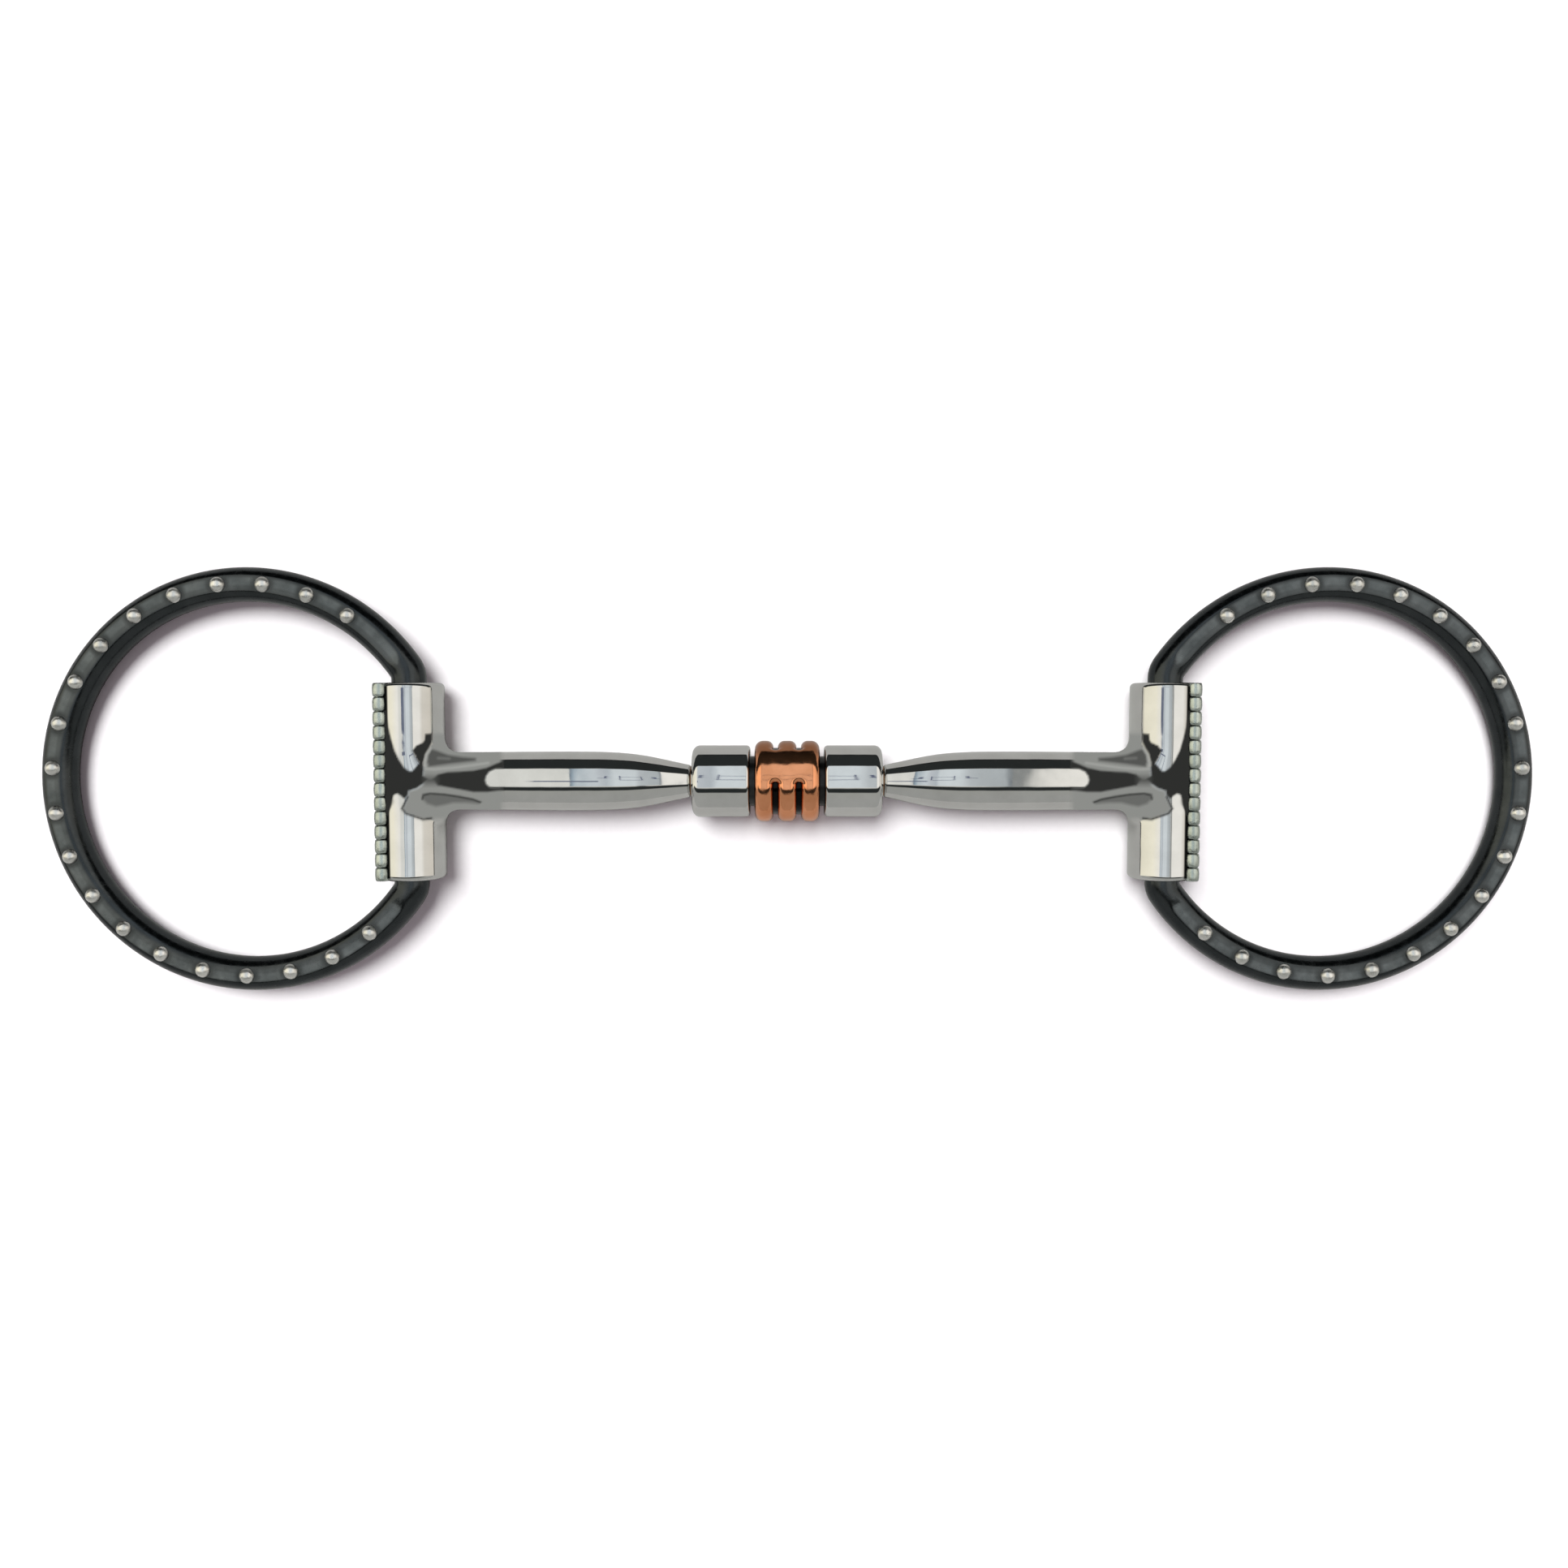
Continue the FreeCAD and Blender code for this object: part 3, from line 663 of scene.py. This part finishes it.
class Nodes:
    """A short way to write a node tree."""

    def __init__(self, tree):
        self.tree = tree
        tree.nodes.clear()

    def add(self, kind, inputs=None, **settings):
        made = self.tree.nodes.new(kind)
        for key, value in settings.items():
            setattr(made, key, value)
        for key, value in (inputs or {}).items():
            self.feed(made.inputs[key], value)
        return made

    def feed(self, socket, value):
        if isinstance(value, bpy.types.NodeSocket):
            self.tree.links.new(value, socket)
        elif isinstance(value, bpy.types.Node):
            self.tree.links.new(value.outputs[0], socket)
        else:
            socket.default_value = value

    def math(self, operation, a, b=0.0, clamp=False):
        return self.add("ShaderNodeMath", {0: a, 1: b}, operation=operation, use_clamp=clamp).outputs[0]

    def hypot(self, a, b):
        squares = [self.math("MULTIPLY", side, side) for side in (a, b)]
        return self.math("SQRT", self.math("ADD", *squares))

    def rise(self, value, start, width):
        """0 up to start, then growing to 1 over a width; a width below 0 falls to 0 at start instead."""
        return self.math("DIVIDE", self.math("SUBTRACT", value, start), width, clamp=True)

    def split(self, vector):
        return self.add("ShaderNodeSeparateXYZ", {0: vector}).outputs

    def attribute(self, name):
        return self.add("ShaderNodeAttribute", attribute_name=name).outputs["Fac"]

    def ramp(self, factor, stops):
        made = self.add("ShaderNodeValToRGB", {"Fac": factor})
        elements = made.color_ramp.elements
        while len(elements) < len(stops):
            elements.new(0.5)
        for element, (place, colour) in zip(elements, stops):
            element.position = place
            element.color = (*colour, 1.0)
        return made.outputs[0]

    def mix(self, factor, a, b):
        made = self.add("ShaderNodeMix", data_type="RGBA", blend_type="MIX")
        self.feed(made.inputs[0], factor)
        self.feed(made.inputs[6], a)
        self.feed(made.inputs[7], b)
        return made.outputs[2]

    def noise(self, scale, detail, vector, roughness=0.5):
        return self.add("ShaderNodeTexNoise", {
            "Scale": scale, "Detail": detail, "Roughness": roughness, "Vector": vector}).outputs[0]


def grey(value):
    """A neutral colour."""
    return (value, value, value)


def new_material(name):
    """An empty material and its nodes."""
    made = bpy.data.materials.new(name)
    made.use_nodes = True
    return made, Nodes(made.node_tree)


def metal(name, low, high, rough, wave=0.0, wave_scale=300.0, grain=0.0, dark=None, over=None):
    """A metal whose colour drifts between two tones, with faint waviness, grain and scratches."""
    made, n = new_material(name)
    place = n.add("ShaderNodeTexCoord").outputs["Object"]
    colour = n.ramp(n.noise(260.0, 4.0, place), [(0.3, low), (0.7, high)])
    # A dark mask mixes the colour towards near-black: painted shade and painted shadow, and other darker
    # patches
    if dark is not None:
        colour = n.mix(dark(n, place), colour, (*DARKENING, 1.0))
    lengthwise = n.add("ShaderNodeMapping", {"Vector": place, "Scale": (600.0, 4200.0, 4200.0)}).outputs[0]
    scratches = n.ramp(n.noise(1.0, 2.0, lengthwise, 0.6), [(0.62, grey(0.0)), (0.72, grey(1.0))])
    smear = n.ramp(n.noise(900.0, 3.0, place), [(0.35, grey(rough[0])), (0.7, grey(rough[1]))])
    roughness = n.math("ADD", smear, n.math("MULTIPLY", scratches, 0.03))
    waves = n.math("MULTIPLY", n.noise(wave_scale, 1.0, place), wave)
    height = n.math("ADD", waves, n.math("MULTIPLY", n.noise(3500.0, 4.0, place), grain))
    bump = n.add("ShaderNodeBump", {"Strength": 1.0, "Distance": MM, "Height": height})
    shader = n.add("ShaderNodeBsdfPrincipled", {
        "Base Color": colour, "Metallic": 1.0, "Roughness": roughness, "Normal": bump.outputs[0]})
    # An over function may lay a painted reflection on the shader
    surface = over(n, shader) if over else shader
    n.add("ShaderNodeOutputMaterial", {"Surface": surface.outputs[0]})
    return made


def glow(name, colour):
    """A light of an even colour, or of the colour that a function of the nodes gives."""
    made, n = new_material(name)
    seen = colour(n) if callable(colour) else (*colour, 1.0)
    shader = n.add("ShaderNodeEmission", {"Color": seen, "Strength": 1.0})
    n.add("ShaderNodeOutputMaterial", {"Surface": shader.outputs[0]})
    return made


def painted_saddle_reflection(n, shader):
    """Painted reflection on the saddle of the weld, an emission seen from straight above: a dark star between
    dull grey shoulders.
    """
    seen_from = n.split(n.add("ShaderNodeNewGeometry").outputs["Incoming"])[2]
    above = n.rise(seen_from, 0.86, 0.06)
    tint = n.ramp(n.attribute("weld_tone"), [(0.0, grey(0.0)), (1.0, (1.0, 1.02, 0.965))])
    painted_tone = n.add("ShaderNodeEmission", {"Color": tint, "Strength": 1.0})
    share = n.math("MULTIPLY", n.attribute("weld_cover"), above)
    return n.add("ShaderNodeMixShader", {0: share, 1: shader, 2: painted_tone})


def from_bead_row(n, place):
    """Distance from the bead row's axis, in metres, on either side."""
    parts = n.split(place)
    x = n.math("SUBTRACT", n.math("ABSOLUTE", parts[0]), BEAD_X * MM)
    return n.hypot(x, n.math("SUBTRACT", parts[2], BEAD_Z * MM))


# Each mask below takes the nodes and a place, and gives how far the metal is darkened there

def trim_shadow(n, place):
    """Painted shadow: the sleeve is darkened beside the bead trim, but not on its end faces."""
    near = n.rise(from_bead_row(n, place), 2.0 * MM, -0.3 * MM)
    y = n.math("ABSOLUTE", n.split(place)[1])
    on_side = n.rise(y, (SLEEVE_HALF - 0.3) * MM, -0.4 * MM)
    return n.math("MULTIPLY", near, on_side)


def slot_shade_and_far_side(n, place):
    """Painted shade at the bottom of the roller's slots, and the roller darker on its far side."""
    parts = n.split(place)
    from_axis = n.hypot(parts[1], n.math("SUBTRACT", parts[2], BARREL_Z * MM))
    deep = n.rise(from_axis, (ROLLER_RADIUS - 0.6) * MM, -0.7 * MM)
    far_side = n.math("MULTIPLY", n.rise(parts[1], 4.3 * MM, 1.2 * MM), 0.5)
    return n.math("MAXIMUM", deep, far_side)


def darker_off_flat_streaks(n, place):
    """The ring is darkened, less so in lighter streaks along the middle of its front flat, away from the
    studs.
    """
    streaks = n.ramp(n.noise(420.0, 3.0, place), [(0.35, grey(0.62)), (0.65, grey(1.0))])
    open_flat = n.math("MULTIPLY", n.attribute("flat"), n.math("SUBTRACT", 1.0, n.attribute("halo")))
    return n.math("SUBTRACT", 0.62, n.math("MULTIPLY", n.math("MULTIPLY", open_flat, streaks), 0.62))


def shaded_bead_waists(n, place):
    """Painted shade in the waists between beads, strongest on the side towards the mouthpiece."""
    waist = n.rise(from_bead_row(n, place), 1.14 * MM, -0.16 * MM)
    x = n.math("ABSOLUTE", n.split(place)[0])
    inner = n.rise(x, (BEAD_X + 0.25) * MM, -0.6 * MM)
    return n.math("MULTIPLY", waist, n.math("ADD", 0.25, n.math("MULTIPLY", inner, 0.75)))


# ---------------------------------------------------------------- studio

def build_world():
    """Soft studio: mirrors see a softbox with a dark gap round it, everything else sees even light."""
    world = bpy.data.worlds.new("studio")
    bpy.context.scene.world = world
    world.use_nodes = True
    n = Nodes(world.node_tree)
    parts = n.split(n.add("ShaderNodeTexCoord").outputs["Generated"])

    def ramp_over(angle, stops):
        """Colours by degrees from straight up."""
        turned = n.math("ADD", n.math("DIVIDE", angle, 2 * math.pi), 0.5)
        return n.ramp(turned, [(0.5 + degrees / 360, colour) for degrees, colour in stops])

    rim, beige, black = (0.45, 0.455, 0.44), (0.45, 0.455, 0.43), (0.03, 0.034, 0.034)
    cream, white = (1.0, 1.0, 0.96), (1.22, 1.19, 1.13)
    along_y = n.math("ARCTAN2", parts[1], parts[2])
    along_x = n.math("ARCTAN2", parts[0], n.hypot(parts[1], parts[2]))
    bands = ramp_over(along_y, [
        (-180, rim), (-60, rim), (-36, beige), (-33.5, black), (92, black), (96, rim), (180, rim)])
    softbox = ramp_over(along_y, [(-22, grey(0.0)), (-18, grey(1.0)), (51.5, grey(1.0)), (53.5, grey(0.0))])
    panels = ramp_over(along_x, [
        (-96, rim), (-90, (0.60, 0.56, 0.48)), (-84, (1.18, 1.12, 0.92)), (-45, (1.28, 1.22, 1.02)),
        (-24, white), (-18, cream), (0, cream), (9, cream), (10.5, (0.30, 0.32, 0.33)),
        (13, (0.42, 0.43, 0.42)), (14.5, white), (46, white), (56, (0.97, 0.92, 0.84)),
        (84, (0.93, 0.87, 0.78)), (90, (0.58, 0.56, 0.50)), (96, rim)])
    across, away = n.math("ABSOLUTE", parts[0]), n.math("ABSOLUTE", parts[1])
    sideways = n.rise(n.math("SUBTRACT", across, n.math("MULTIPLY", away, 2.0)), 0.5, 0.12)
    mirror = n.mix(n.math("MAXIMUM", softbox, sideways), bands, panels)
    rays = n.add("ShaderNodeLightPath").outputs
    seen = n.mix(rays["Is Glossy Ray"], (0.31, 0.265, 0.29, 1.0), mirror)
    seen = n.mix(rays["Is Camera Ray"], seen, (1.0, 1.0, 1.0, 1.0))
    background = n.add("ShaderNodeBackground", {"Color": seen, "Strength": 1.0})
    n.add("ShaderNodeOutputWorld", {"Surface": background.outputs[0]})


def build_floor():
    """A pale sheet that stays under the lowest part of the rings at every pose."""
    mesh = bpy.data.meshes.new("floor")
    mesh.from_pydata([(-3, -3, 0), (3, -3, 0), (3, 3, 0), (-3, 3, 0)], [], [(0, 1, 2, 3)])
    floor = bpy.data.objects.new("floor", mesh)
    bpy.context.scene.collection.objects.link(floor)
    made, n = new_material("floor_paper")
    place = n.add("ShaderNodeTexCoord").outputs["Object"]
    paper = n.ramp(n.noise(900.0, 3.0, place), [(0.3, (0.91, 0.905, 0.91)), (0.7, (0.93, 0.925, 0.93))])
    beyond = n.rise(n.split(place)[1], 0.080, 0.012)
    mirrored_paper = n.mix(beyond, (0.42, 0.43, 0.41, 1.0), (0.02, 0.022, 0.022, 1.0))
    colour = n.mix(n.add("ShaderNodeLightPath").outputs["Is Glossy Ray"], paper, mirrored_paper)
    shader = n.add("ShaderNodeBsdfDiffuse", {"Color": colour})
    n.add("ShaderNodeOutputMaterial", {"Surface": shader.outputs[0]})
    mesh.materials.append(made)
    follow_lowest(floor)


def follow_lowest(floor):
    """Drives the floor's height by markers on the rings, so a ring that swings down isn't buried."""
    driver = floor.driver_add("location", 2).driver
    driver.type = "SCRIPTED"
    names = []
    for side, name in SIDES:
        for k, angle in enumerate((-120, -80, -40, 0, 40, 80, 120)):
            a = math.radians(angle)
            reach = RING_OFFSET + RING_RADIUS * math.cos(a)
            marker = bpy.data.objects.new(f"{name}_low_{k}", None)
            bpy.context.scene.collection.objects.link(marker)
            marker.location = (
                side * (SLEEVE_X + reach * math.cos(RING_DROOP)) * MM,
                RING_RADIUS * math.sin(a) * MM,
                (SLEEVE_Z - reach * math.sin(RING_DROOP)) * MM)
            marker.parent = frame["bodies"][f"{name}_ring"]
            variable = driver.variables.new()
            variable.name = f"v{side + 1}{k}"
            variable.type = "TRANSFORMS"
            variable.targets[0].id = marker
            variable.targets[0].transform_type = "LOC_Z"
            variable.targets[0].transform_space = "WORLD_SPACE"
            names.append(variable.name)
    driver.expression = f"min(0, min({', '.join(names)}) - {(WIRE_RADIUS + 0.02) * MM})"


def build_lights():
    """A broad soft key from the left and the far side, which mirrors don't see."""
    sun = bpy.data.lights.new("key", "SUN")
    sun.energy = KEY_STRENGTH
    sun.angle = KEY_ANGLE
    key = bpy.data.objects.new("key", sun)
    bpy.context.scene.collection.objects.link(key)
    key.rotation_mode = "QUATERNION"
    key.rotation_quaternion = Vector(KEY_DIRECTION).to_track_quat("Z", "Y")
    key.visible_glossy = False


def build_camera():
    """Almost straight down on the bit."""
    camera = bpy.data.cameras.new("camera")
    camera.lens = CAMERA_LENS
    camera.sensor_width = 36.0
    camera.shift_x, camera.shift_y = CAMERA_SHIFT
    camera.clip_start = 0.01
    made = bpy.data.objects.new("camera", camera)
    bpy.context.scene.collection.objects.link(made)
    away = Vector((0, math.sin(CAMERA_TILT), math.cos(CAMERA_TILT))) * CAMERA_DISTANCE
    made.location = (Vector((0, 0, SLEEVE_Z)) + away) * MM
    made.rotation_euler = (-CAMERA_TILT, 0, 0)
    bpy.context.scene.camera = made
    return made


def for_mirrors_only(made, height):
    """Stages a sheet at a height in metres where only mirrors see it."""
    made.location = (0, 0, height)
    made.visible_camera = False
    made.visible_shadow = False
    made.visible_diffuse = False


def build_camera_stand(camera):
    """Dark bars just over the camera's height, each from (x, y) to (x, y)."""
    bars = [
        (-31, 28, 31, 34), (-31, 86, 31, 91), (-31, 34, -28, 110), (28, 34, 31, 110),
        (-66, 62, -46, 68), (-53, 68, -48, 105), (46, 62, 66, 68), (48, 68, 53, 105)]
    points, faces = joined(
        [([(a, b, 0), (c, b, 0), (c, d, 0), (a, d, 0)], [(0, 1, 2, 3)]) for a, b, c, d in bars])
    stand = mesh_object("camera_stand", points, faces, STAND_DARK)
    for_mirrors_only(stand, camera.location.z + 6 * MM)


def build_panel():
    """The pale blue light panel high over the bit, and a dark bar under it."""
    rows = 24
    points = []
    for y in np.linspace(-145, 600, rows):
        spread = 1 + math.hypot(PANEL_HEIGHT, y) / CAMERA_DISTANCE
        points += [(PANEL_LEFT * spread, y, 0), (PANEL_RIGHT * spread, y, 0)]
    bar = [(-165, -5, -2), (-90, -5, -2), (-90, 30, -2), (-165, 30, -2)]
    panel = mesh_object("light_panel", points, grid_faces(rows, 2, close_columns=False), PANEL_BLUE)
    for made in (panel, mesh_object("panel_bar", bar, [(0, 1, 2, 3)], BAR_DARK)):
        for_mirrors_only(made, (SLEEVE_Z + PANEL_HEIGHT) * MM)


def panel_colour(n):
    """The panel's blue, by where along the arms each of its points shows, in millimetres from the middle."""
    parts = n.split(n.add("ShaderNodeTexCoord").outputs["Object"])
    far = n.hypot(parts[1], PANEL_HEIGHT * MM)
    spread = n.math("ADD", n.math("DIVIDE", far, CAMERA_DISTANCE * MM), 1.0)
    mirrored_at = n.math("DIVIDE", parts[0], spread)
    place = n.math("ADD", n.math("DIVIDE", mirrored_at, PANEL_SPAN * MM), 0.5)
    return n.ramp(place, [(0.5 + x / PANEL_SPAN, colour) for x, colour in [
        (PANEL_LEFT, (0.24, 0.28, 0.33)), (-44.6, (0.27, 0.34, 0.41)), (-42.5, (0.44, 0.55, 0.65)),
        (-39.5, (0.72, 0.80, 0.86)), (-35, (0.85, 0.92, 0.98)), (-28, (0.73, 0.78, 0.84)),
        (-20, (0.66, 0.72, 0.78)), (-15, (0.90, 0.97, 1.02)), (15, (0.90, 0.97, 1.02)),
        (24, (0.70, 0.75, 0.79)), (44, (0.60, 0.65, 0.68)), (48, (0.28, 0.31, 0.34))]])


def finish_hidden_parts():
    """Metals for the CAD nodes that show as they are: the core tube, the pins and the washers."""
    for node, cad in frame["nodes"].items():
        for ending, material in HIDDEN_FINISH.items():
            if node.endswith(ending):
                cad.data.materials.clear()
                cad.data.materials.append(material)


# ---------------------------------------------------------------- the scene

# Polished steel with a painted shadow beside the bead trim and a painted reflection on the weld's saddle
STEEL = metal(
    "polished_steel", (0.59, 0.59, 0.575), (0.65, 0.65, 0.635), (0.03, 0.07),
    wave=0.03, wave_scale=220.0, dark=trim_shadow, over=painted_saddle_reflection)
CAP_STEEL = metal(
    "cap_steel", (0.60, 0.60, 0.585), (0.66, 0.66, 0.645), (0.03, 0.07), wave=0.02, wave_scale=260.0)
# Copper with painted shade in its slots, and darker on its far side
COPPER = metal(
    "copper", (0.70, 0.28, 0.13), (0.86, 0.37, 0.19), (0.07, 0.18),
    wave=0.08, wave_scale=420.0, grain=0.006, dark=slot_shade_and_far_side)
# Blued steel, darker except for lighter streaks along the ring's front flat
BLUED = metal(
    "blued_steel", (0.085, 0.098, 0.104), (0.13, 0.145, 0.152), (0.16, 0.30),
    wave=0.08, wave_scale=180.0, grain=0.01, dark=darker_off_flat_streaks)
STUDS = metal(
    "stud_nickel", (0.62, 0.62, 0.59), (0.80, 0.79, 0.76), (0.24, 0.42),
    wave=0.10, wave_scale=900.0, grain=0.03)
# Bead nickel with painted shade in the waists between beads
BEADS = metal(
    "bead_nickel", (0.40, 0.45, 0.41), (0.56, 0.61, 0.56), (0.22, 0.38),
    wave=0.06, wave_scale=900.0, grain=0.02, dark=shaded_bead_waists)
# Near-black turned steel: painted shade where the core tube shows in the gaps beside the roller and in its
# slots
SHADED_TURNED = metal("turned_steel", (0.035, 0.034, 0.033), (0.07, 0.068, 0.066), (0.30, 0.48), grain=0.01)
BRONZE = metal("bronze", (0.20, 0.11, 0.06), (0.34, 0.20, 0.11), (0.25, 0.42), grain=0.02)
HIDDEN_FINISH = {"barrel_core_tube": SHADED_TURNED, "spindle_pin": SHADED_TURNED, "thrust_washer": BRONZE}
STAND_DARK = glow("stand_dark", (0.13, 0.15, 0.25))
BAR_DARK = glow("bar_dark", (0.22, 0.25, 0.34))
PANEL_BLUE = glow("panel_blue", panel_colour)

build_arms_and_sleeves()
build_caps()
build_roller()
build_beads()
build_rings()
build_studs()
finish_hidden_parts()

build_world()
build_floor()
build_lights()
build_camera_stand(build_camera())
build_panel()
bpy.context.scene.view_settings.view_transform = "Standard"
